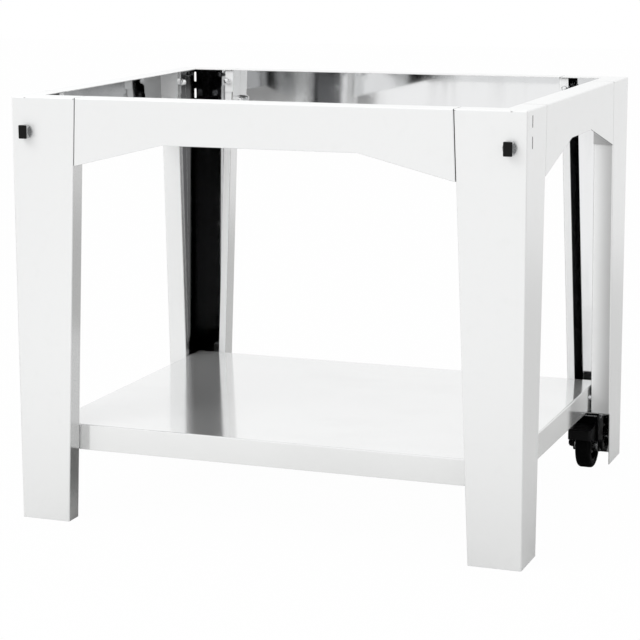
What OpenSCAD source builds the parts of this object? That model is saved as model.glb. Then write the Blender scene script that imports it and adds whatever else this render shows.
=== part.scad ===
// Cart that carries a tabletop pizza oven, folded from stainless sheet: tapered corner legs,
// arched aprons bolted between them, a low shelf tray, two fixed castors at the back and two
// pegs on the front. The floor is z = 0, +X runs along the width, +Y from the front to the back.
// A corner's own frame has its origin on the floor at the leg's outer corner, with x and y
// running inwards along the two faces. A wall is drawn along x and mirrored across the corner.

/* [Overall size] */
// Width between the side faces
cart_w = 1000; // [800:10:1400]
// Depth between the front and rear faces
cart_d = 800; // [650:10:1100]
// Height of the rim above the floor
cart_h = 820; // [700:10:950]

/* [Sheet metal] */
// Thickness of the sheet
sheet_t = 1.5; // [1:0.1:2]
// Outer radius of a fold
bend_r = 2.5; // [2.2:0.1:4]
// Width of the seam between a leg and an apron
seam = 1.2; // [0.6:0.1:2]
// Width of the flat rim that the oven stands on
rim_w = 47; // [44:1:70]
// Depth of the folded edge along a leg and at an apron's ends
edge_fold = 40; // [36:1:42]
// Width of the lip that the folded edge ends in
edge_lip = 16; // [16:0.5:20]

/* [Legs] */
// Width of a leg's faces at the floor
leg_foot_w = 100; // [96:1:118]
// Width of a leg's faces at the rim
leg_top_w = 132; // [120:1:170]
// Width of the fold under a front leg's foot
foot_fold = 18; // [8:1:30]
// Height of a rear leg's lower edge above the floor
rear_foot_z = 21; // [10:1:60]
// Height at which a rear leg's folded edges stop, above the castor
rear_fold_z = 130; // [126:1:131]

/* [Slots] */
// Width of a slot
slot_w = 5; // [3:0.5:8]
// Length of a slot
slot_len = 22; // [14:1:30]
// Drop from the rim to the upper slot's middle
slot_drop = 21; // [18:1:26]
// Distance between the middles of a leg's two slots
slot_pitch = 37; // [32:1:60]
// Distance from the front face to a front leg's slots
front_slot_in = 34.5; // [15:0.5:60]
// Distance from the side face to a rear leg's slots
rear_slot_in = 25; // [15:0.5:60]

/* [Aprons] */
// Height of an apron at its ends
apron_end_h = 127; // [100:1:180]
// Height of the front and rear aprons at the middle of the arch
long_mid_h = 83; // [60:1:98]
// Width of the flat part of the front and rear arches
long_flat_w = 382; // [200:2:480]
// Height of the side aprons at the middle of the arch
side_mid_h = 78; // [60:1:98]
// Width of the flat part of the side arches
side_flat_w = 156; // [60:2:300]
// Height of the tab that an apron lays over a leg's lip
tab_h = 50; // [42:1:70]

/* [Shelf] */
// Height of the shelf's top above the floor
shelf_z = 185; // [180:1:400]
// Height of the shelf's edges
shelf_edge_h = 50; // [36:1:54]
// Distance of the shelf's edges inside the cart's faces
shelf_in = 43; // [43:0.5:50]
// Width of the fold along the bottom of the shelf's edges
shelf_fold = 8; // [6:1:12]
// Height of the stiffening rail under the shelf
rail_h = 20; // [10:1:30]
// Width of the rail's crown
rail_w = 40; // [20:1:80]
// Width of each of the rail's flanges
rail_flange = 15; // [10:1:25]

/* [Frame bolts] */
// Diameter of the bolts between the legs and the aprons
bolt_d = 8; // [6:0.5:8]
// Width across flats of their heads and domed nuts
bolt_af = 13; // [11:0.5:13]
// Height of their heads
bolt_head_h = 5.3; // [4:0.1:6]
// Height of a domed nut
dome_h = 15; // [12:0.5:18]
// Distance of a lip's bolt from the leg's folded edge
lip_bolt_in = 9.5; // [9.5:0.1:10]
// Drop from the rim to a lip's bolt
lip_bolt_drop = 24; // [20:1:30]
// Drop from the rim to the bolt between the folded edges
edge_bolt_drop = 67; // [55:1:90]
// Diameter of the bolts that hold the shelf
shelf_bolt_d = 6; // [4:0.5:8]
// Width across flats of the shelf bolts' heads and nuts
shelf_bolt_af = 10; // [9:0.5:13]

/* [Castors] */
// Diameter of a wheel
wheel_d = 100; // [80:1:104]
// Width of a tyre
wheel_w = 32; // [24:1:40]
// Radius of a tyre's shoulders
shoulder_r = 7; // [2:0.5:10]
// Thickness of a tyre on its core
tyre_t = 12; // [6:0.5:14]
// Diameter of a wheel's hub
hub_d = 30; // [26:1:36]
// Length of a wheel's hub
hub_len = 49; // [42:1:49.5]
// Distance of a wheel's middle plane inside the side face
castor_in_x = 57.5; // [56:0.5:58]
// Distance of an axle inside the rear face
castor_in_y = 54; // [52:0.5:58]
// Space between a fork's cheeks
fork_gap = 50; // [50:0.5:50.5]
// Thickness of a fork's cheeks
cheek_t = 2.5; // [2:0.1:3]
// Thickness of a fork's top plate
fork_top_t = 3; // [2:0.1:4]
// Length of the top plate, across the cart
fork_top_x = 92; // [90:1:94]
// Width of the top plate, from front to back
fork_top_y = 70; // [66:1:76]
// Width of a cheek at the top
cheek_top_w = 56; // [40:1:60]
// Radius of a cheek round the axle
cheek_end_r = 15; // [13:0.5:20]
// Bolt spacing across the cart
castor_bolt_x = 74; // [74:0.5:75]
// Bolt spacing from front to back
castor_bolt_y = 48; // [44:1:50]
// Diameter of the mounting bolts
castor_bolt_d = 8; // [6:0.5:8]
// Thickness of the bracket that ties a castor to its leg
bracket_t = 2; // [1.5:0.1:3]
// Height of the bracket's welded tabs
bracket_tab_h = 30; // [15:1:50]
// Diameter of the axle bolt
axle_d = 10; // [8:0.5:11]
// Outer diameter of the sleeve that the wheel turns on
sleeve_d = 15; // [14:0.1:16]
// Outer diameter of the bush pressed into the hub
bush_d = 20; // [18:0.1:22]

/* [Brake levers] */
// Width of a lever, inside the fork
lever_w = 48; // [46:0.5:48]
// Thickness of its steel
lever_t = 2; // [1.5:0.1:2.5]
// Distance of its pin ahead of the axle
lever_pin_ahead = 5; // [2:0.5:8]
// Height of its pin above the wheel
lever_pin_above = 12; // [11.5:0.1:12.5]
// Diameter of its pin
lever_pin_d = 6; // [5:0.1:6.5]
// Reach of its toe ahead of the axle
lever_toe_ahead = 80; // [76:1:88]
// Depth of its toe
lever_toe_h = 21; // [14:1:24]
// Thickness of air between the shoe and the tyre
shoe_gap = 5.4; // [5.2:0.1:6]
// Width of the brake shoe
shoe_w = 28; // [20:1:36]

/* [Pegs] */
// Width of a peg's block and cap
peg_w = 16.4; // [10:0.1:24]
// Height of a peg's block and cap
peg_h = 25.5; // [16:0.5:36]
// Thickness of the round base
peg_base_t = 3; // [1:0.5:5]
// Diameter of the round base
peg_base_d = 26; // [20:1:34]
// Length of the block
peg_block_l = 11; // [9:0.5:30]
// Thickness of the cap
peg_cap_t = 2; // [1:0.5:5]
// Distance of a peg inside the side face
peg_in = 30.5; // [20:0.5:60]
// Drop from the rim to a peg
peg_drop = 65; // [40:1:90]
// Diameter of a peg's screw
peg_screw_d = 5; // [4:0.5:6]

/* [Hidden] */
$fn = 48;

// How far a cut runs past the faces that it cuts
overrun = 2;
// Clearance of a bolt in its hole, and of a thread in its nut, on the radius
hole_gap = 0.4;
thread_gap = 0.1;
// Running clearance of the wheel's bush on its sleeve, on the radius
bush_gap = 0.05;
// Bolt end that shows past its nut, and steel left over a blind hole
bolt_end = 2;
blind_wall = 3;
// Gap under the rim that an apron's tab keeps, and beside a foot's fold and the rail's ends
fold_relief = 1;
// How far the arc that rounds an apron's slanted edge stands outside the faces
edge_blunt = 0.2;
// Small relief cut at the rim's folds: its width, its height and its place along the front
notch_w = 3;
notch_h = 1.2;
notch_in = 27;
// Web of a wheel's core, its boss round the hub, the ring under the tyre and the tyre's bead
web_t = 8;
boss_t = 4;
boss_l = 22;
rim_ring_t = 6;
bead_h = 2;
// Brake lever: its eye, the knee in its top, where that top starts and how deep its sides are
lever_eye_r = 7;
lever_knee_ahead = 30;
lever_knee_drop = 11;
lever_top_start = 14;
lever_toe_drop = 15;
lever_side_h = 38;
shoe_len = 14;
pin_head_d = 10;
pin_head_h = 2;
// Rounding of the fork's plate and the pegs, and the distance of the bracket's tabs from its ends
plate_r = 8;
peg_r = 2;
tab_in = 26;
// Head of a peg's screw
peg_head_h = 3;
peg_head_d = 9;
// Proportions of nuts and heads after the usual metric ones
nut_h_share = 0.8;
head_h_share = 0.65;
lock_nut_h_share = 1;
lock_collar_share = 0.35;
dome_r_share = 0.47;
dome_hex_h_share = 0.5;
axle_af_share = 1.6;

front_y = -cart_d / 2 + peg_reach() / 2;
rear_y = front_y + cart_d;
mid_y = (front_y + rear_y) / 2;
lean = atan((leg_top_w - leg_foot_w) / cart_h);
seam_across = seam * cos(lean);
rim_z = cart_h - sheet_t;
apron_end_z = cart_h - apron_end_h;
shelf_bolt_z = shelf_z - shelf_edge_h / 2;
castor_h = rear_fold_z - bracket_t;
fork_plate_z = castor_h - fork_top_t;
wheel_r = wheel_d / 2;
castor_bolt_af = castor_bolt_d * axle_af_share;
axle_af = axle_d * axle_af_share;
axle_half = fork_gap / 2 + cheek_t;
bush_bore_r = sleeve_d / 2 + bush_gap;
lever_pin_z = wheel_d + lever_pin_above;
lever_knee_z = lever_pin_z - lever_knee_drop;
lever_toe_z = lever_pin_z - lever_toe_drop;
lever_slope = (lever_eye_r - lever_t + lever_knee_drop)
    / (lever_knee_ahead - lever_pin_ahead - lever_t);

function peg_reach() = peg_base_t + peg_block_l + peg_cap_t;
// Width of a leg's faces at a height
function leg_w(z) = leg_foot_w + (leg_top_w - leg_foot_w) * z / cart_h;
// Where an apron of a given span ends
function apron_x(span, z) = span / 2 - leg_w(z) - seam;

module rounded_box(x, y, r) {
    square([x - 2 * r, y], center = true);
    square([x, y - 2 * r], center = true);
    for (sx = [-1, 1], sy = [-1, 1])
        translate([sx * (x / 2 - r), sy * (y / 2 - r)]) circle(r);
}

// Upright outline pushed inwards from a face, from y = 0
module from_face(depth) {
    translate([0, depth, 0]) rotate([90, 0, 0]) linear_extrude(depth) children();
}

// Outline in y and z drawn along x
module along_x(length) {
    translate([-length / 2, 0, 0]) rotate([90, 0, 90]) linear_extrude(length) children();
}

// Quarter ring of sheet in the corner of +x and -y, round its centre
module fold_arc() {
    difference() {
        intersection() {
            circle(bend_r);
            translate([0, -bend_r]) square(bend_r);
        }
        circle(bend_r - sheet_t);
    }
}

// What rounding takes off a square corner at the origin
module corner_trim() {
    difference() {
        translate([-overrun, -overrun]) square(bend_r + overrun);
        translate([bend_r, bend_r]) circle(bend_r);
    }
}

// Both walls of a corner
module both_walls() {
    children();
    mirror([1, -1, 0]) children();
}

module hex_prism(across_flats, height) {
    rotate([0, 0, 30]) cylinder(h = height, r = across_flats / 2 / cos(30), $fn = 6);
}

// A bolt whose head sits below z = 0 and whose shank runs up
module hex_bolt(d, across_flats, head_h, length) {
    translate([0, 0, -head_h]) hex_prism(across_flats, head_h);
    translate([0, 0, -head_h]) cylinder(h = head_h + length, r = d / 2);
}

module hex_nut(d, across_flats, height) {
    difference() {
        hex_prism(across_flats, height);
        translate([0, 0, -overrun]) cylinder(h = height + 2 * overrun, r = d / 2 + thread_gap);
    }
}

module domed_nut() {
    dome_r = bolt_af * dome_r_share;
    difference() {
        union() {
            hex_prism(bolt_af, dome_h * dome_hex_h_share);
            cylinder(h = dome_h - dome_r, r = dome_r);
            translate([0, 0, dome_h - dome_r]) sphere(dome_r);
        }
        translate([0, 0, -overrun])
            cylinder(h = dome_h - blind_wall + overrun, r = bolt_d / 2 + thread_gap);
    }
}

module slot_outline() {
    straight = slot_len - slot_w;
    square([slot_w, straight], center = true);
    for (end = [-1, 1]) translate([0, end * straight / 2]) circle(slot_w / 2);
}

// Places: children are set with z along the bolt, from the seat of its head

module lip_bolt_site() {
    z = cart_h - lip_bolt_drop;
    translate([leg_w(z) - lip_bolt_in, edge_fold - sheet_t, z]) rotate([-90, 0, 0]) children();
}

module edge_bolt_site() {
    z = cart_h - edge_bolt_drop;
    translate([leg_w(z), edge_fold / 2, z]) rotate([0, 90 + lean, 0])
        translate([0, 0, -sheet_t]) children();
}

module shelf_bolt_site() {
    z = shelf_bolt_z;
    translate([leg_w(z) - lip_bolt_in, edge_fold - sheet_t, z]) rotate([-90, 0, 0]) children();
}

module mirror_if(on, direction) {
    if (on) mirror(direction) children();
    else children();
}

// side is -1 at the left and 1 at the right, end is -1 at the front and 1 at the back
module at_corner(side, end) {
    translate([side * cart_w / 2, end < 0 ? front_y : rear_y, 0])
        mirror_if(side > 0, [1, 0, 0]) mirror_if(end > 0, [0, 1, 0]) children();
}

module at_corners() {
    for (side = [-1, 1], end = [-1, 1]) at_corner(side, end) children();
}

module at_castor(side) {
    at_corner(side, 1) translate([castor_in_x, castor_in_y, 0]) children();
}

module castor_bolt_sites() {
    for (sx = [-1, 1], sy = [-1, 1])
        translate([sx * castor_bolt_x / 2, sy * castor_bolt_y / 2, 0]) children();
}

module at_peg(side) {
    at_corner(side, -1) translate([peg_in, 0, cart_h - peg_drop]) rotate([90, 0, 0]) children();
}

// Legs

// Section of a leg's folded edge: wall, fold, edge, fold and lip, back from the edge at x = 0
module leg_edge_section() {
    wall_l = leg_top_w + bend_r;
    translate([-wall_l, 0]) square([wall_l - bend_r, sheet_t]);
    translate([-bend_r, bend_r]) fold_arc();
    translate([-sheet_t, bend_r]) square([sheet_t, edge_fold - 2 * bend_r]);
    translate([-bend_r, edge_fold - bend_r]) mirror([0, 1]) fold_arc();
    translate([-edge_lip, edge_fold - sheet_t]) square([edge_lip - bend_r, sheet_t]);
}

module leg_wall(foot_z, fold_z) {
    intersection() {
        translate([leg_foot_w, 0, 0]) rotate([0, lean, 0]) translate([0, 0, -edge_fold])
            linear_extrude(cart_h + 2 * edge_fold) leg_edge_section();
        translate([0, 0, fold_z]) cube([leg_top_w, edge_fold, cart_h - fold_z]);
    }
    if (fold_z > foot_z)
        from_face(sheet_t) polygon([
            [0, foot_z], [leg_w(foot_z), foot_z], [leg_w(fold_z), fold_z], [0, fold_z]
        ]);
    from_face(rim_w) polygon([
        [0, rim_z], [leg_w(rim_z), rim_z], [leg_w(cart_h), cart_h], [0, cart_h]
    ]);
}

// Everything inside the leg's rounded outer folds
module leg_envelope() {
    reach = leg_top_w + overrun;
    intersection() {
        linear_extrude(cart_h) difference() {
            square(reach);
            corner_trim();
        }
        rim_envelope(reach);
        mirror([1, -1, 0]) rim_envelope(reach);
    }
}

// Everything under the rounded fold between a face and the rim
module rim_envelope(reach) {
    from_face(reach) difference() {
        square([reach, cart_h]);
        translate([0, cart_h]) mirror([0, 1]) corner_trim();
    }
}

module leg(foot_z, fold_z) {
    difference() {
        intersection() {
            union() {
                both_walls() leg_wall(foot_z, fold_z);
                if (foot_z == 0)
                    both_walls() cube([leg_foot_w - bend_r - fold_relief, foot_fold, sheet_t]);
            }
            leg_envelope();
        }
        both_walls() {
            leg_bolt_holes();
            translate([leg_top_w - notch_w, -overrun, rim_z - notch_h])
                cube([notch_w + overrun, overrun + sheet_t, notch_h]);
        }
        corner_relief();
    }
}

// Small square opening where the rim's folds meet
module corner_relief() {
    translate([-overrun, -overrun, cart_h - notch_h])
        cube([overrun + notch_h, overrun + notch_h, notch_h + overrun]);
}

module leg_bolt_holes() {
    lip_bolt_site() hole(bolt_d, sheet_t);
    edge_bolt_site() hole(bolt_d, sheet_t);
    shelf_bolt_site() hole(shelf_bolt_d, sheet_t);
}

module hole(d, depth) {
    translate([0, 0, -overrun]) cylinder(h = depth + 2 * overrun, r = d / 2 + hole_gap);
}

module slots(inset) {
    for (row = [0, 1])
        translate([inset, -overrun, cart_h - slot_drop - row * slot_pitch])
            from_face(sheet_t + 2 * overrun) slot_outline();
}

module front_leg(side) {
    color("gainsboro") difference() {
        at_corner(side, -1) difference() {
            leg(0, 0);
            mirror([1, -1, 0]) slots(front_slot_in);
            translate([notch_in, -overrun, cart_h - bend_r])
                cube([notch_w, overrun + notch_h, notch_h]);
        }
        at_peg(side) translate([0, 0, -sheet_t]) hole(peg_screw_d, sheet_t);
    }
}

module rear_leg(side) {
    color("gainsboro") at_corner(side, 1) difference() {
        leg(rear_foot_z, rear_fold_z);
        slots(rear_slot_in);
    }
}

module leg_front_left() { front_leg(-1); }
module leg_front_right() { front_leg(1); }
module leg_rear_left() { rear_leg(-1); }
module leg_rear_right() { rear_leg(1); }

// Aprons, drawn along x with the outer face at y = 0

// What lies between an apron's slanted ends, pulled in by a distance
module between_ends(span, inset, low_z, high_z) {
    polygon([
        [inset - apron_x(span, high_z), high_z], [apron_x(span, high_z) - inset, high_z],
        [apron_x(span, low_z) - inset, low_z], [inset - apron_x(span, low_z), low_z]
    ]);
}

// Outside of an apron's face, rim and folded ends in y and z
module apron_envelope() {
    difference() {
        translate([0, apron_end_z]) square([rim_w, apron_end_h]);
        translate([0, cart_h]) mirror([0, 1]) corner_trim();
    }
}

// Rounding of an apron's slanted edge; its arc crosses both faces at an angle
module apron_edge_trim(span) {
    translate([apron_x(span, 0), 0, 0]) rotate([0, -lean, 0]) translate([0, 0, -edge_fold])
        linear_extrude(cart_h + 2 * edge_fold) difference() {
            translate([-bend_r, -overrun]) square(bend_r + overrun);
            translate([-bend_r, bend_r]) circle(bend_r + edge_blunt);
        }
}

// Space behind an apron's folded ends, from a depth inwards
module behind_ends(span, depth, low_z, high_z) {
    translate([-span / 2, depth, low_z]) cube([span, rim_w, high_z - low_z]);
}

module apron_tab(span, low_z, high_z) {
    half_t = sheet_t / 2;
    reach = seam + edge_lip;
    translate([0, edge_fold, 0]) from_face(sheet_t) polygon([
        [apron_x(span, high_z) - half_t, high_z], [apron_x(span, high_z) + reach, high_z],
        [apron_x(span, low_z) + reach, low_z], [apron_x(span, low_z) - half_t, low_z]
    ]);
}

module apron(span, flat_w, mid_h) {
    mid_z = cart_h - mid_h;
    end_x = apron_x(span, apron_end_z);
    tab_z = cart_h - tab_h;
    tab_top = rim_z - fold_relief;
    difference() {
        union() {
            difference() {
                intersection() {
                    along_x(span) apron_envelope();
                    from_face(rim_w) polygon([
                        [-apron_x(span, cart_h), cart_h],
                        [apron_x(span, cart_h), cart_h],
                        [end_x, apron_end_z],
                        [end_x - bend_r, apron_end_z],
                        [flat_w / 2, mid_z],
                        [-flat_w / 2, mid_z],
                        [bend_r - end_x, apron_end_z],
                        [-end_x, apron_end_z]
                    ]);
                }
                translate([0, sheet_t, 0]) from_face(rim_w)
                    between_ends(span, sheet_t / cos(lean), apron_end_z - overrun, rim_z);
                behind_ends(span, edge_fold, apron_end_z - overrun, tab_z);
                behind_ends(span, edge_fold + sheet_t, tab_z - overrun, rim_z);
                behind_ends(span, edge_fold, tab_top, rim_z);
            }
            for (flip = [0, 1]) mirror_if(flip == 1, [1, 0, 0]) apron_tab(span, tab_z, tab_top);
        }
        for (flip = [0, 1]) mirror_if(flip == 1, [1, 0, 0]) {
            apron_edge_trim(span);
            translate([-span / 2, 0, 0]) {
                lip_bolt_site() hole(bolt_d, 2 * sheet_t);
                edge_bolt_site() hole(bolt_d, 2 * sheet_t + seam_across);
            }
        }
    }
}

module apron_front() {
    color("gainsboro") translate([0, front_y, 0]) apron(cart_w, long_flat_w, long_mid_h);
}

module apron_rear() {
    color("gainsboro") translate([0, rear_y, 0]) rotate([0, 0, 180])
        apron(cart_w, long_flat_w, long_mid_h);
}

module side_apron(side) {
    color("gainsboro") translate([side * cart_w / 2, mid_y, 0]) rotate([0, 0, side * 90])
        apron(cart_d, side_flat_w, side_mid_h);
}

module apron_left() { side_apron(-1); }
module apron_right() { side_apron(1); }

// Shelf

module shelf() {
    shelf_w = cart_w - 2 * shelf_in;
    shelf_d = cart_d - 2 * shelf_in;
    low_z = shelf_z - shelf_edge_h;
    color("whitesmoke") difference() {
        translate([0, mid_y, 0]) difference() {
            intersection() {
                translate([0, 0, low_z]) linear_extrude(shelf_edge_h)
                    rounded_box(shelf_w, shelf_d, bend_r);
                along_x(shelf_w) tray_profile(shelf_d, low_z);
                rotate([0, 0, 90]) along_x(shelf_d) tray_profile(shelf_w, low_z);
            }
            translate([0, 0, low_z + sheet_t]) linear_extrude(shelf_edge_h - 2 * sheet_t)
                square([shelf_w - 2 * sheet_t, shelf_d - 2 * sheet_t], center = true);
            translate([0, 0, low_z - overrun]) linear_extrude(sheet_t + 2 * overrun)
                square([shelf_w - 2 * shelf_fold, shelf_d - 2 * shelf_fold], center = true);
        }
        at_corners() both_walls() shelf_bolt_site()
            hole(shelf_bolt_d, shelf_in - edge_fold + 2 * sheet_t);
    }
}

// Section of the tray's outside, with its upper folds rounded
module tray_profile(width, low_z) {
    translate([-width / 2, low_z]) square([width, shelf_edge_h - bend_r]);
    translate([-width / 2 + bend_r, shelf_z - bend_r]) square([width - 2 * bend_r, bend_r]);
    for (end = [-1, 1]) translate([end * (width / 2 - bend_r), shelf_z - bend_r]) circle(bend_r);
}

// Hat-shaped rail along the middle of the shelf's underside
module shelf_rail() {
    length = cart_w - 2 * (shelf_in + sheet_t + fold_relief);
    top_z = shelf_z - sheet_t;
    color("silver") translate([0, mid_y, 0]) along_x(length) {
        for (end = [-1, 1]) {
            translate([end * (rail_w + rail_flange) / 2, top_z - sheet_t / 2])
                square([rail_flange, sheet_t], center = true);
            translate([end * (rail_w + sheet_t) / 2, top_z - rail_h / 2])
                square([sheet_t, rail_h], center = true);
        }
        translate([0, top_z - rail_h + sheet_t / 2])
            square([rail_w + 2 * sheet_t, sheet_t], center = true);
    }
}

// Bolts between the legs and the aprons

module frame_bolts() {
    lip_grip = 2 * sheet_t;
    edge_grip = lip_grip + seam_across;
    thread = dome_h - blind_wall - bolt_end;
    color("silver") at_corners() both_walls() {
        lip_bolt_site() hex_bolt(bolt_d, bolt_af, bolt_head_h, lip_grip + thread);
        edge_bolt_site() hex_bolt(bolt_d, bolt_af, bolt_head_h, edge_grip + thread);
    }
}

module frame_nuts() {
    lip_grip = 2 * sheet_t;
    color("whitesmoke") at_corners() both_walls() {
        lip_bolt_site() translate([0, 0, lip_grip]) domed_nut();
        edge_bolt_site() translate([0, 0, lip_grip + seam_across]) domed_nut();
    }
}

// Bolts that hang the shelf between the legs' lips

module shelf_bolts() {
    grip = shelf_in - edge_fold + 2 * sheet_t;
    nut_h = shelf_bolt_d * nut_h_share;
    color("silver") at_corners() both_walls() shelf_bolt_site()
        hex_bolt(shelf_bolt_d, shelf_bolt_af, shelf_bolt_d * head_h_share, grip + nut_h + bolt_end);
}

module shelf_spacers() {
    color("silver") at_corners() both_walls() shelf_bolt_site() translate([0, 0, sheet_t])
        difference() {
            cylinder(h = shelf_in - edge_fold, r = shelf_bolt_d);
            hole(shelf_bolt_d, shelf_in - edge_fold);
        }
}

module shelf_nuts() {
    grip = shelf_in - edge_fold + 2 * sheet_t;
    color("silver") at_corners() both_walls() shelf_bolt_site() translate([0, 0, grip])
        hex_nut(shelf_bolt_d, shelf_bolt_af, shelf_bolt_d * nut_h_share);
}

// Castors

// Plate under a rear leg's folds, with two tabs welded to the leg's walls
module castor_bracket(side) {
    reach = leg_w(rear_fold_z) - sheet_t;
    tab_l = reach - 2 * tab_in;
    color("silver") difference() {
        at_corner(side, 1) {
            translate([sheet_t, sheet_t, castor_h]) cube([reach, reach, bracket_t]);
            both_walls() translate([sheet_t + tab_in, sheet_t, castor_h])
                cube([tab_l, bracket_t, bracket_t + bracket_tab_h]);
        }
        at_castor(side) castor_bolt_sites() translate([0, 0, castor_h])
            hole(castor_bolt_d, bracket_t);
    }
}

// Cheek of the fork in y and z: straight sides that run tangent to the round end
module cheek_outline() {
    rise = fork_plate_z - wheel_r;
    half = cheek_top_w / 2;
    tangent = atan2(rise, half) - acos(cheek_end_r / norm([half, rise]));
    touch = [cheek_end_r * cos(tangent), cheek_end_r * sin(tangent)];
    translate([0, wheel_r]) {
        circle(cheek_end_r);
        polygon([[-half, rise], [half, rise], touch, [-touch.x, touch.y]]);
    }
}

module castor_fork(side) {
    color("dimgray") at_castor(side) difference() {
        union() {
            translate([0, 0, fork_plate_z]) linear_extrude(fork_top_t)
                rounded_box(fork_top_x, fork_top_y, plate_r);
            for (cheek = [-1, 1]) translate([cheek * (fork_gap + cheek_t) / 2, 0, 0])
                along_x(cheek_t) cheek_outline();
        }
        castor_bolt_sites() translate([0, 0, fork_plate_z]) hole(castor_bolt_d, fork_top_t);
        translate([-axle_half, 0, wheel_r]) rotate([0, 90, 0]) hole(axle_d, 2 * axle_half);
        along_lever_pin() translate([0, 0, -axle_half]) hole(lever_pin_d, 2 * axle_half);
    }
}

// Brake levers, with y pointing ahead of the axle

module along_lever_pin() {
    translate([0, lever_pin_ahead, lever_pin_z]) rotate([0, 90, 0]) children();
}

// Side of a lever in y and z, from its eye to a knee and a deep toe
module lever_outline() {
    polygon([
        [lever_pin_ahead + lever_t, lever_pin_z + lever_eye_r - lever_t],
        [lever_knee_ahead, lever_knee_z],
        [lever_toe_ahead - lever_t, lever_toe_z],
        [lever_toe_ahead, lever_toe_z - lever_t],
        [lever_toe_ahead, lever_toe_z - lever_toe_h],
        [lever_knee_ahead + lever_t, lever_knee_z - lever_side_h],
        [lever_pin_ahead - lever_eye_r + lever_t, lever_pin_z - lever_t]
    ]);
}

// What is open inside a lever, under its top
module lever_hollow() {
    drop = (lever_knee_ahead - lever_top_start) * lever_slope;
    top_start_z = lever_knee_z + drop - lever_t;
    floor_z = wheel_r - wheel_d / 4;
    polygon([
        [-lever_eye_r, lever_pin_z + 2 * lever_eye_r],
        [lever_top_start, lever_pin_z + 2 * lever_eye_r],
        [lever_top_start, top_start_z],
        [lever_knee_ahead, lever_knee_z - lever_t],
        [lever_toe_ahead - lever_t, lever_toe_z - lever_t],
        [lever_toe_ahead - lever_t, floor_z],
        [-lever_eye_r, floor_z]
    ]);
}

module brake_lever(side) {
    color("dimgray") at_castor(side) difference() {
        union() {
            along_x(lever_w) lever_outline();
            along_lever_pin() translate([0, 0, -lever_w / 2])
                cylinder(h = lever_w, r = lever_eye_r);
        }
        along_x(lever_w - 2 * lever_t) lever_hollow();
        along_lever_pin() translate([0, 0, -lever_w / 2]) hole(lever_pin_d, lever_w);
    }
}

module brake_shoe(side) {
    fall = (lever_knee_z - lever_toe_z) / (lever_toe_ahead - lever_t - lever_knee_ahead);
    top_z = lever_knee_z - lever_t;
    color("black") at_castor(side) along_x(shoe_w) difference() {
        polygon([
            [lever_knee_ahead, top_z],
            [lever_knee_ahead + shoe_len, top_z - shoe_len * fall],
            [lever_knee_ahead + shoe_len, wheel_r],
            [lever_knee_ahead, wheel_r]
        ]);
        translate([0, wheel_r]) circle(wheel_r + shoe_gap);
    }
}

module brake_pin(side) {
    color("silver") at_castor(side) along_lever_pin() {
        translate([0, 0, -axle_half]) cylinder(h = 2 * axle_half, r = lever_pin_d / 2);
        for (end = [-1, 1]) translate([0, 0, end * (axle_half + pin_head_h / 2)])
            cylinder(h = pin_head_h, r = pin_head_d / 2, center = true);
    }
}

module castor_bolts(side) {
    grip = fork_top_t + bracket_t;
    nut_h = castor_bolt_d * nut_h_share;
    color("silver") at_castor(side) castor_bolt_sites() translate([0, 0, fork_plate_z])
        hex_bolt(castor_bolt_d, castor_bolt_af, castor_bolt_d * head_h_share,
            grip + nut_h + bolt_end);
}

module castor_nuts(side) {
    color("silver") at_castor(side) castor_bolt_sites() translate([0, 0, rear_fold_z])
        hex_nut(castor_bolt_d, castor_bolt_af, castor_bolt_d * nut_h_share);
}

// The axle's pieces lie along x, with the bolt's head towards the side face
module along_axle(side) {
    at_castor(side) translate([0, 0, wheel_r]) rotate([0, 90, 0]) children();
}

module axle_bolt(side) {
    length = 2 * axle_half + axle_d * lock_nut_h_share + bolt_end;
    color("silver") along_axle(side) translate([0, 0, -axle_half])
        hex_bolt(axle_d, axle_af, axle_d * head_h_share, length);
}

module axle_nut(side) {
    nut_h = axle_d * lock_nut_h_share;
    collar_h = nut_h * lock_collar_share;
    color("silver") along_axle(side) translate([0, 0, axle_half]) difference() {
        union() {
            hex_prism(axle_af, nut_h - collar_h);
            cylinder(h = nut_h, r = axle_d * axle_af_share / 2 - thread_gap);
        }
        translate([0, 0, -overrun])
            cylinder(h = nut_h + 2 * overrun, r = axle_d / 2 + thread_gap);
    }
}

module tube_along(length, outer_r, inner_r) {
    translate([0, 0, -length / 2]) difference() {
        cylinder(h = length, r = outer_r);
        translate([0, 0, -overrun]) cylinder(h = length + 2 * overrun, r = inner_r);
    }
}

module axle_sleeve(side) {
    color("lightgray") along_axle(side)
        tube_along(fork_gap, sleeve_d / 2, axle_d / 2 + thread_gap);
}

module wheel_bush(side) {
    color("goldenrod") along_axle(side) tube_along(hub_len, bush_d / 2, bush_bore_r);
}

module wheel_hub(side) {
    color("silver") along_axle(side) tube_along(hub_len, hub_d / 2, bush_d / 2);
}

// Section of the core as radius and distance along the axle
module core_outline() {
    ring_r = wheel_r - tyre_t;
    hub_r = hub_d / 2;
    translate([hub_r, -boss_l / 2]) square([boss_t, boss_l]);
    translate([hub_r, -web_t / 2]) square([ring_r - rim_ring_t / 2 - hub_r, web_t]);
    translate([ring_r - rim_ring_t, -wheel_w / 2 + bead_h])
        square([rim_ring_t, wheel_w - 2 * bead_h]);
}

module wheel_core(side) {
    color("dimgray") along_axle(side) rotate_extrude() core_outline();
}

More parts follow.
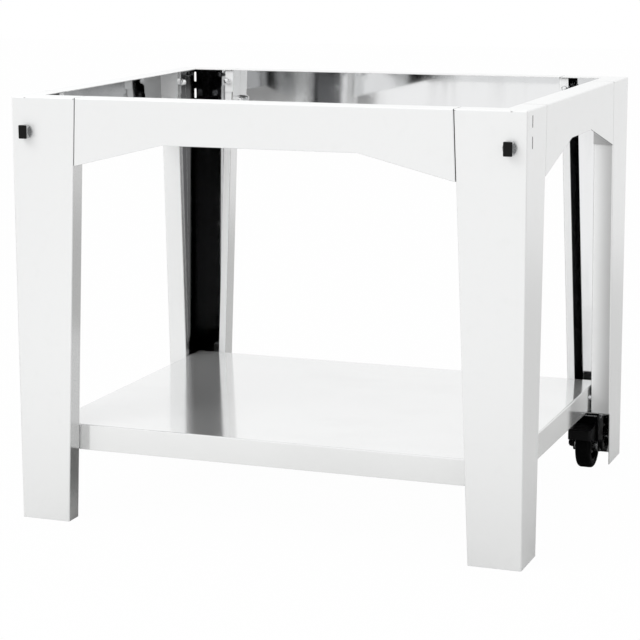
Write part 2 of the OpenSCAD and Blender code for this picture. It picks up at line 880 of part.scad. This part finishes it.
// Section of the tyre, with rounded shoulders and a lip that grips the core's ring
module tyre_outline() {
    ring_r = wheel_r - tyre_t;
    flat = wheel_w - 2 * shoulder_r;
    translate([ring_r, -wheel_w / 2]) square([tyre_t - shoulder_r, wheel_w]);
    translate([ring_r, -flat / 2]) square([tyre_t, flat]);
    for (end = [-1, 1]) {
        translate([wheel_r - shoulder_r, end * flat / 2]) intersection() {
            circle(shoulder_r);
            translate([0, end < 0 ? -shoulder_r : 0]) square(shoulder_r);
        }
        translate([ring_r - bead_h, end < 0 ? -wheel_w / 2 : wheel_w / 2 - bead_h])
            square([bead_h, bead_h]);
    }
}

module tyre(side) {
    color("black") along_axle(side) rotate_extrude() tyre_outline();
}

module castor_bracket_left() { castor_bracket(-1); }
module castor_bracket_right() { castor_bracket(1); }
module castor_fork_left() { castor_fork(-1); }
module castor_fork_right() { castor_fork(1); }
module brake_lever_left() { brake_lever(-1); }
module brake_lever_right() { brake_lever(1); }
module brake_shoe_left() { brake_shoe(-1); }
module brake_shoe_right() { brake_shoe(1); }
module brake_pin_left() { brake_pin(-1); }
module brake_pin_right() { brake_pin(1); }
module castor_bolts_left() { castor_bolts(-1); }
module castor_bolts_right() { castor_bolts(1); }
module castor_nuts_left() { castor_nuts(-1); }
module castor_nuts_right() { castor_nuts(1); }
module axle_bolt_left() { axle_bolt(-1); }
module axle_bolt_right() { axle_bolt(1); }
module axle_nut_left() { axle_nut(-1); }
module axle_nut_right() { axle_nut(1); }
module axle_sleeve_left() { axle_sleeve(-1); }
module axle_sleeve_right() { axle_sleeve(1); }
module wheel_bush_left() { wheel_bush(-1); }
module wheel_bush_right() { wheel_bush(1); }
module wheel_hub_left() { wheel_hub(-1); }
module wheel_hub_right() { wheel_hub(1); }
module wheel_core_left() { wheel_core(-1); }
module wheel_core_right() { wheel_core(1); }
module tyre_left() { tyre(-1); }
module tyre_right() { tyre(1); }

// Pegs, with z pointing out of the front face

module peg_base(side) {
    color("whitesmoke") at_peg(side) difference() {
        cylinder(h = peg_base_t, r = peg_base_d / 2);
        hole(peg_screw_d, peg_base_t);
    }
}

module peg_block(side) {
    color("whitesmoke") at_peg(side) translate([0, 0, peg_base_t]) difference() {
        linear_extrude(peg_block_l) rounded_box(peg_w, peg_h, peg_r);
        translate([0, 0, -overrun]) cylinder(
            h = peg_block_l - blind_wall + overrun, r = peg_screw_d / 2 + thread_gap);
    }
}

module peg_cap(side) {
    color("black") at_peg(side) translate([0, 0, peg_base_t + peg_block_l])
        linear_extrude(peg_cap_t) rounded_box(peg_w, peg_h, peg_r);
}

module peg_screw(side) {
    grip = sheet_t + peg_base_t + peg_block_l - blind_wall - bolt_end;
    color("silver") at_peg(side) translate([0, 0, -sheet_t]) {
        translate([0, 0, -peg_head_h]) {
            cylinder(h = peg_head_h, r = peg_head_d / 2);
            cylinder(h = peg_head_h + grip, r = peg_screw_d / 2);
        }
    }
}

module peg_base_left() { peg_base(-1); }
module peg_base_right() { peg_base(1); }
module peg_block_left() { peg_block(-1); }
module peg_block_right() { peg_block(1); }
module peg_cap_left() { peg_cap(-1); }
module peg_cap_right() { peg_cap(1); }
module peg_screw_left() { peg_screw(-1); }
module peg_screw_right() { peg_screw(1); }

leg_front_left();
leg_front_right();
leg_rear_left();
leg_rear_right();
apron_front();
apron_rear();
apron_left();
apron_right();
shelf();
shelf_rail();
frame_bolts();
frame_nuts();
shelf_bolts();
shelf_spacers();
shelf_nuts();
castor_bracket_left();
castor_bracket_right();
castor_fork_left();
castor_fork_right();
brake_lever_left();
brake_lever_right();
brake_shoe_left();
brake_shoe_right();
brake_pin_left();
brake_pin_right();
castor_bolts_left();
castor_bolts_right();
castor_nuts_left();
castor_nuts_right();
axle_bolt_left();
axle_bolt_right();
axle_nut_left();
axle_nut_right();
axle_sleeve_left();
axle_sleeve_right();
wheel_bush_left();
wheel_bush_right();
wheel_hub_left();
wheel_hub_right();
wheel_core_left();
wheel_core_right();
tyre_left();
tyre_right();
peg_base_left();
peg_base_right();
peg_block_left();
peg_block_right();
peg_cap_left();
peg_cap_right();
peg_screw_left();
peg_screw_right();
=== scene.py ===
import math
import bmesh
import bpy
from mathutils import Matrix, Vector


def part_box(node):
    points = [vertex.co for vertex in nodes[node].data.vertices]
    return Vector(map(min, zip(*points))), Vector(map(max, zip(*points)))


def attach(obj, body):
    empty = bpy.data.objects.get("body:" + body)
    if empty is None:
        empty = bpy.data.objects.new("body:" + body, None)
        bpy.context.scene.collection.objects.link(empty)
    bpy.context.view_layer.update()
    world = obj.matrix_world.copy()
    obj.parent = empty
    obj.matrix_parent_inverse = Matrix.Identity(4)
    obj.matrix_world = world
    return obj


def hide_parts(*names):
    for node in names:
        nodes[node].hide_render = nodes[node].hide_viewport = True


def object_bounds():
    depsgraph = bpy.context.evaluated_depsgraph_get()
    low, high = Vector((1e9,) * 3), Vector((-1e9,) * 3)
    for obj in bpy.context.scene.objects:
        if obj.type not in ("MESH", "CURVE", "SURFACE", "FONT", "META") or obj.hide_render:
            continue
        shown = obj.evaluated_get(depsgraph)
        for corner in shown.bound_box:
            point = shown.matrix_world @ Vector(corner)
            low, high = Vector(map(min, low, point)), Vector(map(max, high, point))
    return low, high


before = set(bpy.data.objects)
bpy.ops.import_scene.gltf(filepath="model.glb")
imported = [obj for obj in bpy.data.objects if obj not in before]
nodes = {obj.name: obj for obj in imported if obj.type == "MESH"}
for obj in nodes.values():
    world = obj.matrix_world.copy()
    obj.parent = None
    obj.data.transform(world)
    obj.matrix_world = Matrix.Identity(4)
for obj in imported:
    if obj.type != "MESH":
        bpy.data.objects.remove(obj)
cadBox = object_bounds()
print("stage: packed cart loaded,", len(nodes), "nodes")

# Camera, solved from the straight edges of the cart
camera = {
    "lens": 117.12, "sensor": 36.0, "shift": (0.0539, -0.0430),
    "place": (1.4161, -3.8538, 1.1522),
    "yaw": 21.4963, "pitch": -10.2723, "roll": -0.3591,
    "nearest": 0.1, "farthest": 100,
}


def placeCamera(look):
    yaw, pitch, roll = (math.radians(look[key]) for key in ("yaw", "pitch", "roll"))
    level = math.cos(pitch)
    ahead = Vector((-math.sin(yaw) * level, math.cos(yaw) * level, math.sin(pitch)))
    right = Vector((math.cos(yaw), math.sin(yaw), 0))
    up = right.cross(ahead)
    side = right * math.cos(roll) + up * math.sin(roll)
    top = up * math.cos(roll) - right * math.sin(roll)
    data = bpy.data.cameras.new("cartCamera")
    data.lens, data.sensor_width = look["lens"], look["sensor"]
    data.shift_x, data.shift_y = look["shift"]
    data.clip_start, data.clip_end = look["nearest"], look["farthest"]
    eye = bpy.data.objects.new("cartCamera", data)
    bpy.context.scene.collection.objects.link(eye)
    turn = Matrix((side, top, -ahead)).transposed().to_4x4()
    eye.matrix_world = Matrix.Translation(look["place"]) @ turn
    bpy.context.scene.camera = eye


placeCamera(camera)
bpy.context.scene.view_settings.view_transform = "Standard"
print("stage: camera placed")


class Wire:  # an output socket that can be added, scaled and compared
    def __init__(self, sheet, socket):
        self.sheet = sheet
        self.socket = socket

    def other(self, name):
        return Wire(self.sheet, self.socket.node.outputs[name])

    def maths(self, operation, first, second=0.0):
        return self.sheet.make("ShaderNodeMath", {"operation": operation}, {0: first, 1: second})

    def __add__(self, value):
        return self.maths("ADD", self, value)

    def __radd__(self, value):
        return self.maths("ADD", value, self)

    def __sub__(self, value):
        return self.maths("SUBTRACT", self, value)

    def __rsub__(self, value):
        return self.maths("SUBTRACT", value, self)

    def __mul__(self, value):
        return self.maths("MULTIPLY", self, value)

    def __rmul__(self, value):
        return self.maths("MULTIPLY", value, self)

    def __abs__(self):
        return self.maths("ABSOLUTE", self)

    def __gt__(self, value):
        return self.maths("GREATER_THAN", self, value)

    def __lt__(self, value):
        return self.maths("LESS_THAN", self, value)

    def sign(self):
        return self.maths("SIGN", self)

    def orElse(self, value):
        return self.maths("MAXIMUM", self, value)

    def toward(self, mask, value):  # unchanged where mask is 0, value where it is 1
        return self + mask * (value - self)

    def steps(self, low, high):  # 0 below low, 1 above high, smooth between
        return self.sheet.make("ShaderNodeMapRange", {"interpolation_type": "SMOOTHSTEP"},
                               {"Value": self, "From Min": low, "From Max": high})


class Sheet:  # the node tree of one finish
    def __init__(self, owner):
        self.owner = owner
        owner.use_nodes = True
        self.tree = owner.node_tree
        self.tree.nodes.clear()

    def make(self, kind, settings=None, sockets=None, output=0):
        node = self.tree.nodes.new(kind)
        for key, value in (settings or {}).items():
            setattr(node, key, value)
        for key, value in (sockets or {}).items():
            if isinstance(value, Wire):
                self.tree.links.new(value.socket, node.inputs[key])
            else:
                node.inputs[key].default_value = value
        return Wire(self, node.outputs[output]) if len(node.outputs) else None

    def place(self):  # where the point lies on the piece, in metres
        return self.make("ShaderNodeTexCoord", output="Object")

    def split(self, vector):  # its X; other("Y") and other("Z") give the rest
        return self.make("ShaderNodeSeparateXYZ", None, {0: vector})

    def scaled(self, vector, scale):
        return self.make("ShaderNodeVectorMath", {"operation": "MULTIPLY"}, {0: vector, 1: scale})

    def noise(self, vector, scale, detail=3.0, rough=0.5):
        return self.make("ShaderNodeTexNoise", None,
                         {"Vector": vector, "Scale": scale, "Detail": detail, "Roughness": rough})

    def patches(self, vector, look):  # soft patches: 1 inside, 0 outside
        return self.noise(vector, look["scale"], look["detail"], look["rough"]).steps(*look["range"])

    def mixColour(self, factor, first, second):
        colours = [value if isinstance(value, Wire) else (*value, 1) for value in (first, second)]
        return self.make("ShaderNodeMix", {"data_type": "RGBA"},
                         {0: factor, 6: colours[0], 7: colours[1]}, 2)

    def rounded(self, radius):  # normal that runs softly over every edge
        return self.make("ShaderNodeBevel", {"samples": 6}, {"Radius": radius})

    def edges(self, softNormal):  # 1 on an edge, 0 on a flat face
        hard = self.make("ShaderNodeNewGeometry", output="Normal")
        along = self.make("ShaderNodeVectorMath", {"operation": "DOT_PRODUCT"},
                          {0: softNormal, 1: hard}, 1)
        return (1 - along).steps(0.0, 0.12)

    def bumped(self, height, strength, depth, normal):
        return self.make("ShaderNodeBump", None, {
            "Height": height, "Strength": strength, "Distance": depth, "Normal": normal})

    def surface(self, **sockets):
        names = {"base": "Base Color", "rough": "Roughness", "metal": "Metallic",
                 "normal": "Normal", "specular": "Specular IOR Level"}
        shader = self.make("ShaderNodeBsdfPrincipled", None,
                           {names[key]: value for key, value in sockets.items()})
        self.make("ShaderNodeOutputMaterial", None, {"Surface": shader})
        return self.owner


def newFinish(name):
    return Sheet(bpy.data.materials.new(name))


def toned(colour, share):
    return [min(1.0, share * tone) for tone in colour]


# Stainless sheet of the legs and aprons: satin outside, bright within the frame
steelSheet = {
    "outer": (0.84, 0.845, 0.845), "outerMetal": 0.55, "outerRough": 0.32,  # the cart's own faces
    "rim": (0.89, 0.895, 0.895),  # the top, painted lighter as lit from above
    "fold": (0.91, 0.915, 0.915), "foldMetal": 0.30, "foldRough": 0.34,  # folded edges and lips
    "back": (0.84, 0.845, 0.85), "backRough": 0.045,  # insides of the faces, left bright by the rolls
    "sideMetal": 0.90, "sideRough": 0.20,  # folded edges that look along the width
    "hollowRough": 0.14,
    "under": (0.22, 0.22, 0.22), "underRough": 0.75,  # what faces the floor, painted dark as shade
    "paintedBendShade": (0.36, 0.36, 0.36),  # painted shade, standing for what a fold facing the front mirrors beside its bend
    "foldDepth": 0.0026,  # how deep the outer folds reach under the faces
    "anyTilt": 0.05, "mainTilt": 0.5, "downTilt": 0.3,  # how far a face leans to count as facing so
    # edges painted darker as shade, except along the top
    "edge": (0.30, 0.30, 0.295), "edgeShadeShare": 0.45, "edgeRadius": 0.0011,
    # smudges on the insides, stretched upright and darkened as painted streaks of reflection
    "smearStretch": (7, 7, 1.2), "smearShare": 0.35, "smudgeAndStreakTone": 0.7, "smearRough": 0.04,
    "smear": {"scale": 2.4, "detail": 3.0, "rough": 0.5, "range": (0.45, 0.72)},
    "printShade": (0.62, 0.62, 0.61), "printShare": 0.05, "printRough": 0.04,
    "prints": {"scale": 38.0, "detail": 3.0, "rough": 0.55, "range": (0.52, 0.8)},
    "grainRough": 0.03, "outerGrainRough": 0.07, "grainStrength": 0.35, "grainDepth": 0.00002,
}
# Per piece, painted shade and painted reflection on one steel, lighter on the front legs and darker
# on the rear legs: folded edges and insides that look along the width; folds that look into a hollow,
# painted dark;
# share and width of the painted shade beside a bend; and the direction of the grain
apronLook = {"edge": (0.84, 0.845, 0.845), "side": (0.42, 0.425, 0.43),
             "hollow": (0.06, 0.06, 0.062), "bend": (1.0, 0.12)}
sheetPieces = {
    "steelFrontLegs": {"edge": (0.62, 0.62, 0.62), "side": (0.45, 0.45, 0.455),
                       "hollow": (0.40, 0.40, 0.405), "bend": (0.0, 0.045), "grain": (900, 900, 14)},
    "steelRearLegs": {"edge": (0.72, 0.72, 0.72), "side": (0.06, 0.06, 0.062),
                      "hollow": (0.06, 0.06, 0.062), "bend": (0.75, 0.045), "grain": (900, 900, 14)},
    "steelLongAprons": {**apronLook, "grain": (14, 900, 900)},
    "steelSideAprons": {**apronLook, "grain": (900, 14, 900)},
}
frontFace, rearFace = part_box("apron_front")[0].y, cadBox[1].y
body = {"right": cadBox[1].x, "top": cadBox[1].z,
        "middle": (frontFace + rearFace) / 2, "halfDepth": (rearFace - frontFace) / 2}


def sheetMasks(sheet, place, look, bendWidth):  # where each look of the sheet lies
    at = sheet.split(place)
    facing = sheet.split(sheet.make("ShaderNodeNewGeometry", output="Normal"))
    x, y, z = at, at.other("Y") - body["middle"], at.other("Z")
    faceX, faceY, faceZ = facing, facing.other("Y"), facing.other("Z")
    outX, outY = faceX * x.sign(), faceY * y.sign()
    deepX, deepY = body["right"] - abs(x), body["halfDepth"] - abs(y)
    nearX, nearY = deepX < look["foldDepth"], deepY < look["foldDepth"]
    slight, most = look["anyTilt"], look["mainTilt"]
    top = (z > body["top"] - look["foldDepth"]) * (faceZ > slight)
    return {
        "top": top,
        "outer": (nearX * (outX > slight)).orElse(nearY * (outY > slight)).orElse(top),
        "back": (nearX * (outX < -most)).orElse(nearY * (outY < -most)),
        "hollow": ((1 - nearX) * (outX > most)).orElse((1 - nearY) * (outY > most)),
        # faces turned to the floor, where shade is painted
        "under": faceZ < -look["downTilt"],
        "across": abs(faceX) > most,
        # painted shade beside the bend of folds facing the front, on the right half only
        "bend": (1 - deepX.steps(0.0, bendWidth)) * (faceY < -most) * (x > 0.0),
    }


def sheetFinish(name, look, piece):
    sheet = newFinish(name)
    place = sheet.place()
    bendShare, bendWidth = piece["bend"]
    mask = sheetMasks(sheet, place, look, bendWidth)
    smear = sheet.patches(sheet.scaled(place, look["smearStretch"]), look["smear"])
    prints = sheet.patches(place, look["prints"])
    lines = sheet.noise(sheet.scaled(place, piece["grain"]), 1.0, 2.0)
    soft = sheet.rounded(look["edgeRadius"])
    edgeMask = sheet.edges(soft)
    # insides: smudges with painted streaks of reflection; those that look along the width take the
    # piece's painted shade
    smudgeAndStreaks = toned(look["back"], look["smudgeAndStreakTone"])
    inside = sheet.mixColour(smear * look["smearShare"], look["back"], smudgeAndStreaks)
    inside = sheet.mixColour(mask["across"], inside, piece["side"])
    base = look["fold"]
    for share, colour in (
            (mask["across"], piece["edge"]), (mask["bend"] * bendShare, look["paintedBendShade"]),
            (mask["back"], inside), (mask["hollow"], piece["hollow"]), (mask["outer"], look["outer"]),
            # painted light on the top, painted shade on what faces the floor
            (mask["top"], look["rim"]), (mask["under"], look["under"]),
            (prints * look["printShare"], look["printShade"]),
            # edges painted darker as shade, not along the top
            (edgeMask * look["edgeShadeShare"] * (1 - mask["top"]), look["edge"])):
        base = sheet.mixColour(share, base, colour)
    rough = look["foldRough"] + mask["across"] * (look["sideRough"] - look["foldRough"])
    rough = rough.toward(mask["back"], look["backRough"] + smear * look["smearRough"])
    for key in ("hollow", "outer", "under"):
        rough = rough.toward(mask[key], look[key + "Rough"])
    grainRough = look["grainRough"] + mask["outer"] * look["outerGrainRough"]
    rough = rough + (lines - 0.5) * grainRough + prints * look["printRough"]
    metal = look["foldMetal"] + mask["across"] * (look["sideMetal"] - look["foldMetal"])
    metal = metal.toward(mask["back"].orElse(mask["hollow"]), 1.0)
    metal = metal.toward(mask["outer"], look["outerMetal"]).toward(mask["under"], 0.0)
    normal = sheet.bumped(lines * mask["outer"], look["grainStrength"], look["grainDepth"], soft)
    return sheet.surface(base=base, rough=rough, metal=metal, normal=normal)


# Polished tray
shelfLook = {
    "colour": (0.88, 0.885, 0.885), "metal": 0.78, "rough": 0.10, "smudgeTone": 0.94,
    "smearStretch": (1.0, 1.6, 1.0), "smearShare": 0.4, "smearRough": 0.03,
    "smear": {"scale": 5.0, "detail": 4.0, "rough": 0.6, "range": (0.42, 0.75)},
    "printShare": 0.2, "printRough": 0.06,
    "prints": {"scale": 60.0, "detail": 4.0, "rough": 0.6, "range": (0.55, 0.78)},
    "grain": (14, 900, 900), "grainRough": 0.05, "grainStrength": 0.2, "grainDepth": 0.00001,
    "edgeRadius": 0.0012,
}


def trayFinish(name, look):
    sheet = newFinish(name)
    place = sheet.place()
    smear = sheet.patches(sheet.scaled(place, look["smearStretch"]), look["smear"])
    prints = sheet.patches(place, look["prints"])
    lines = sheet.noise(sheet.scaled(place, look["grain"]), 1.0, 2.0)
    smudged = smear * look["smearShare"] + prints * look["printShare"]
    base = sheet.mixColour(smudged, look["colour"], toned(look["colour"], look["smudgeTone"]))
    rough = look["rough"] + smear * look["smearRough"] + prints * look["printRough"]
    rough = rough + (lines - 0.5) * look["grainRough"]
    soft = sheet.rounded(look["edgeRadius"])
    normal = sheet.bumped(lines, look["grainStrength"], look["grainDepth"], soft)
    return sheet.surface(base=base, rough=rough, metal=look["metal"], normal=normal)


# Fasteners, chrome, plain steel and brass
metalLook = {
    "zinc": {"colour": (0.80, 0.81, 0.83), "rough": 0.24, "speck": 260.0, "radius": 0.0006},
    "chrome": {"colour": (0.88, 0.885, 0.89), "rough": 0.06, "speck": 120.0, "radius": 0.0008},
    # the peg's chrome and its base, darkened as painted shade and painted reflection
    "pegChromeShaded": {"colour": (0.50, 0.505, 0.51), "rough": 0.10, "speck": 120.0, "radius": 0.0012},
    "pegBaseShaded": {"colour": (0.40, 0.405, 0.41), "rough": 0.18, "speck": 160.0, "radius": 0.0010},
    "brightHub": {"colour": (0.45, 0.455, 0.46), "rough": 0.22, "speck": 200.0, "radius": 0.0008},
    "plainSteel": {"colour": (0.42, 0.425, 0.42), "rough": 0.24, "speck": 90.0, "radius": 0.0008},
    "brass": {"colour": (0.72, 0.56, 0.32), "rough": 0.28, "speck": 300.0, "radius": 0.0004},
}
metalWear = {
    "patchSize": 6, "patchRange": (0.4, 0.7),  # patches this many times the specks' size
    "patchShare": 0.4, "patchTone": 0.85, "patchRough": 0.05,
    "wornShare": 0.5, "wornTone": 1.1,
    "speckRough": 0.12, "speckStrength": 0.2, "speckDepth": 0.00002,
}


def metalFinish(name, look, wear):
    sheet = newFinish(name)
    place = sheet.place()
    specks = sheet.noise(place, look["speck"], 3.0, 0.6)
    patch = sheet.noise(place, look["speck"] / wear["patchSize"]).steps(*wear["patchRange"])
    soft = sheet.rounded(look["radius"])
    edgeMask = sheet.edges(soft)
    colour = look["colour"]
    base = sheet.mixColour(patch * wear["patchShare"], colour, toned(colour, wear["patchTone"]))
    base = sheet.mixColour(edgeMask * wear["wornShare"], base, toned(colour, wear["wornTone"]))
    rough = look["rough"] + (specks - 0.5) * wear["speckRough"] + patch * wear["patchRough"]
    normal = sheet.bumped(specks, wear["speckStrength"], wear["speckDepth"], soft)
    return sheet.surface(base=base, rough=rough, metal=1.0, normal=normal)


# Black steel, plastics and rubber
darkLook = {
    "blackSteel": {"colour": (0.003, 0.003, 0.0032), "gloss": 0.12, "rough": 0.34,
                   "grain": 700.0, "depth": 0.00003},
    "wheelPlastic": {"colour": (0.003, 0.003, 0.0034), "gloss": 0.10, "rough": 0.42,
                     "grain": 900.0, "depth": 0.00002},
    "capPlastic": {"colour": (0.004, 0.004, 0.004), "gloss": 0.15, "rough": 0.32,
                   "grain": 1100.0, "depth": 0.00001},
    "tyreRubber": {"colour": (0.002, 0.002, 0.0022), "gloss": 0.05, "rough": 0.60,
                   "grain": 500.0, "depth": 0.00006},
}
darkWear = {
    "dust": {"scale": 45.0, "detail": 4.0, "rough": 0.65, "range": (0.5, 0.8)},
    "dustShade": (0.06, 0.06, 0.058), "dustShare": 0.06, "dustRough": 0.15,
    "wornShade": (0.12, 0.12, 0.12), "wornShare": 0.10,
    "grainRough": 0.12, "grainStrength": 0.5, "edgeRadius": 0.0008,
}


def darkFinish(name, look, wear):
    sheet = newFinish(name)
    place = sheet.place()
    pebble = sheet.noise(place, look["grain"], 2.0)
    dust = sheet.patches(place, wear["dust"])
    soft = sheet.rounded(wear["edgeRadius"])
    edgeMask = sheet.edges(soft)
    base = sheet.mixColour(dust * wear["dustShare"], look["colour"], wear["dustShade"])
    base = sheet.mixColour(edgeMask * wear["wornShare"], base, wear["wornShade"])
    rough = look["rough"] + dust * wear["dustRough"] + (pebble - 0.5) * wear["grainRough"]
    normal = sheet.bumped(pebble, wear["grainStrength"], look["depth"], soft)
    return sheet.surface(base=base, rough=rough, metal=0.0, normal=normal, specular=look["gloss"])


finishes = {name: sheetFinish(name, steelSheet, piece) for name, piece in sheetPieces.items()}
finishes["steelTray"] = trayFinish("steelTray", shelfLook)
for name, look in metalLook.items():
    finishes[name] = metalFinish(name, look, metalWear)
for name, look in darkLook.items():
    finishes[name] = darkFinish(name, look, darkWear)

wears = (  # how a node's name starts and its finish; the first that fits counts
    ("leg_front", "steelFrontLegs"), ("leg_rear", "steelRearLegs"),
    ("apron_front", "steelLongAprons"), ("apron_rear", "steelLongAprons"),
    ("apron_", "steelSideAprons"),
    ("shelf_rail", "plainSteel"), ("shelf_", "zinc"), ("shelf", "steelTray"),
    ("frame_bolts", "zinc"), ("frame_nuts", "chrome"),
    ("castor_bracket", "plainSteel"), ("castor_fork", "blackSteel"), ("castor_", "zinc"),
    ("axle_sleeve", "zinc"), ("axle_", "blackSteel"), ("wheel_bush", "brass"),
    ("wheel_hub", "brightHub"), ("wheel_core", "wheelPlastic"), ("tyre", "tyreRubber"),
    ("brake_lever", "blackSteel"), ("brake_shoe", "tyreRubber"), ("brake_pin", "zinc"),
    ("peg_cap", "capPlastic"), ("peg_screw", "zinc"), ("peg_base", "pegBaseShaded"), ("peg_", "pegChromeShaded"),
)
for name, piece in nodes.items():
    finish = next(finishes[key] for start, key in wears if name.startswith(start))
    piece.data.materials.clear()
    piece.data.materials.append(finish)
print("stage: finishes on all nodes")

# Brake levers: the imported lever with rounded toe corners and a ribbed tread
treadLook = {
    "corner": 0.007, "steps": 8,  # rounding of the toe, seen from above
    "proud": 0.0003,  # how far the cutter stands outside and the ribs reach into the lever
    "kneeBack": 0.050, "kneeDrop": 0.018, "fall": 0.083,  # where the tread starts and its slope
    "ribs": 4, "first": 0.009, "pitch": 0.009, "inset": 0.009,
    "width": 0.0036, "height": 0.0012, "shoulder": 0.4, "end": 0.3,  # the last two are shares
}


def looseObject(name, shape):
    mesh = bpy.data.meshes.new(name)
    bmesh.ops.recalc_face_normals(shape, faces=shape.faces)
    shape.to_mesh(mesh)
    shape.free()
    piece = bpy.data.objects.new(name, mesh)
    bpy.context.scene.collection.objects.link(piece)
    return piece


def joinRings(shape, near, far):  # a band of faces between two rings of points
    for first, second in enumerate([*range(1, len(near)), 0]):
        shape.faces.new((near[first], near[second], far[second], far[first]))


def toeCutter(low, high, look):  # a block with the toe's two upright corners rounded
    out, radius = look["proud"], look["corner"]
    left, right, toe, back = low.x - out, high.x + out, low.y - out, high.y + out
    outline = [(right, back), (left, back)]
    for middleX, start in ((left + radius, math.pi), (right - radius, 1.5 * math.pi)):
        for step in range(look["steps"] + 1):
            turn = start + step / look["steps"] * math.pi / 2
            x, y = radius * math.cos(turn), radius * math.sin(turn)
            outline.append((middleX + x, toe + radius + y))
    shape = bmesh.new()
    rings = [[shape.verts.new((x, y, z)) for x, y in outline] for z in (low.z - out, high.z + out)]
    joinRings(shape, *rings)
    for ring in rings:
        shape.faces.new(ring)
    return looseObject("toeCutter", shape)


def addRib(shape, low, high, along, look):  # a low bar with sloping ends across the tread
    y = low.y + along
    z = high.z - look["kneeDrop"] - (look["kneeBack"] - along) * look["fall"]
    wide, tall, sunk = look["width"] / 2, look["height"], -look["proud"]
    shoulder = tall * look["shoulder"]
    profile = [(-wide, sunk), (-wide, shoulder), (-wide / 2, tall),
               (wide / 2, tall), (wide, shoulder), (wide, sunk)]
    left, right = low.x + look["inset"], high.x - look["inset"]
    rings = []
    for x, share in ((left, look["end"]), (left + tall, 1), (right - tall, 1), (right, look["end"])):
        ring = [(x, y + across * share, z + (up * share if up > 0 else up)) for across, up in profile]
        rings.append([shape.verts.new(point) for point in ring])
    for near, far in zip(rings, rings[1:]):
        joinRings(shape, near, far)
    shape.faces.new(rings[0])
    shape.faces.new(rings[-1])


def pressLever(side, look):
    name = "brake_lever_" + side
    low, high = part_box(name)
    blank = bpy.data.objects.new("leverBlank", nodes[name].data.copy())
    bpy.context.scene.collection.objects.link(blank)
    cutter = toeCutter(low, high, look)
    cut = blank.modifiers.new("toeCorners", "BOOLEAN")
    cut.operation, cut.object, cut.solver = "INTERSECT", cutter, "EXACT"
    view = bpy.context.evaluated_depsgraph_get()
    shape = bmesh.new()
    shape.from_object(blank, view)
    for spare in (blank, cutter):
        bpy.data.objects.remove(spare)
    for count in range(look["ribs"]):
        addRib(shape, low, high, look["first"] + count * look["pitch"], look)
    lever = looseObject("pressedLever_" + side, shape)
    lever.data.materials.clear()
    lever.data.materials.append(finishes["blackSteel"])
    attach(lever, "brake_" + side)
    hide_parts(name)
    print("stage: pressed lever", side, len(lever.data.vertices), "points")


for side in ("left", "right"):
    pressLever(side, treadLook)

# Pale floor, even white light and dark cards that only bright steel mirrors
studio = {
    "floor": (0.62, 0.62, 0.615), "floorSize": 14.0, "shadowShare": 0.015,
    "middle": 0.9, "mirrored": (1.5, 2.6),  # how far off the middle mirrors show the floor white
    "sky": 0.97, "seenSky": 1.0,  # strength of the light, and of what the camera sees
    "lamp": 75.0, "lampSize": 2.4, "lampPlace": (-1.6, -2.6, 3.0), "lampAim": (0, 0, 0.4),
    "cards": {  # lowest and highest corner, and shade
        "rearLegCard": ((-1.02, -0.62, 0.0), (-0.77, -0.62, 0.60), 0.009),
        "leftCard": ((-6.5, -7.0, 0.0), (-2.6, -7.0, 0.6), 0.30),
        "rightCard": ((1.6, -7.0, 0.12), (6.5, -7.0, 0.6), 0.10),
    },
    "weave": {"scale": 8.0, "detail": 3.0, "rough": 0.5, "range": (0.2, 0.8)}, "weaveTone": 1.4,
    "cardRough": 0.9,
}


def flatPiece(name, corners, material):
    shape = bmesh.new()
    shape.faces.new([shape.verts.new(corner) for corner in corners])
    piece = looseObject(name, shape)
    piece.data.materials.append(material)
    return piece


def layFloor(look):  # white to the camera and far off in mirrors, its own shade near the cart
    sheet = newFinish("paleFloor")
    offMiddle = abs(sheet.split(sheet.place()).other("Y") - look["middle"])
    path = sheet.make("ShaderNodeLightPath", output="Is Camera Ray")
    mirrored = path.other("Is Glossy Ray") * offMiddle.steps(*look["mirrored"])
    seen = path.orElse(mirrored).orElse(path.other("Is Transmission Ray"))
    plain = sheet.make("ShaderNodeBsdfDiffuse", None, {"Color": (*look["floor"], 1)})
    glow = sheet.make("ShaderNodeEmission", None, {"Color": (1, 1, 1, 1), "Strength": 1.0})
    mixed = sheet.make("ShaderNodeMixShader", None,
                       {0: seen * (1 - look["shadowShare"]), 1: plain, 2: glow})
    sheet.make("ShaderNodeOutputMaterial", None, {"Surface": mixed})
    out = look["floorSize"]
    corners = [(-out, -out, 0), (out, -out, 0), (out, out, 0), (-out, out, 0)]
    flatPiece("floor", corners, sheet.owner)


def hangCards(look):
    for name, (low, high, shade) in look["cards"].items():
        sheet = newFinish(name)
        weave = sheet.patches(sheet.place(), look["weave"])
        base = sheet.mixColour(weave, [shade] * 3, [shade * look["weaveTone"]] * 3)
        sheet.surface(base=base, rough=look["cardRough"], specular=0.0)
        corners = [low, (high[0], high[1], low[2]), high, (low[0], low[1], high[2])]
        card = flatPiece(name, corners, sheet.owner)
        card.visible_camera = card.visible_diffuse = False
        card.visible_shadow = card.visible_transmission = False


def lightStudio(look):
    world = bpy.data.worlds.new("whiteStudio")
    bpy.context.scene.world = world
    sheet = Sheet(world)
    seen = sheet.make("ShaderNodeLightPath", output="Is Camera Ray")
    light, white = (
        sheet.make("ShaderNodeBackground", None, {"Color": (1, 1, 1, 1), "Strength": look[key]})
        for key in ("sky", "seenSky"))
    sky = sheet.make("ShaderNodeMixShader", None, {0: seen, 1: light, 2: white})
    sheet.make("ShaderNodeOutputWorld", None, {"Surface": sky})
    data = bpy.data.lights.new("softBox", "AREA")
    data.shape, data.size, data.energy = "DISK", look["lampSize"], look["lamp"]
    lamp = bpy.data.objects.new("softBox", data)
    lamp.location = look["lampPlace"]
    lamp.rotation_mode = "QUATERNION"
    lamp.rotation_quaternion = (Vector(look["lampAim"]) - lamp.location).to_track_quat("-Z", "Y")
    lamp.visible_glossy = False
    bpy.context.scene.collection.objects.link(lamp)


layFloor(studio)
hangCards(studio)
lightStudio(studio)
print("stage: floor, cards and light")
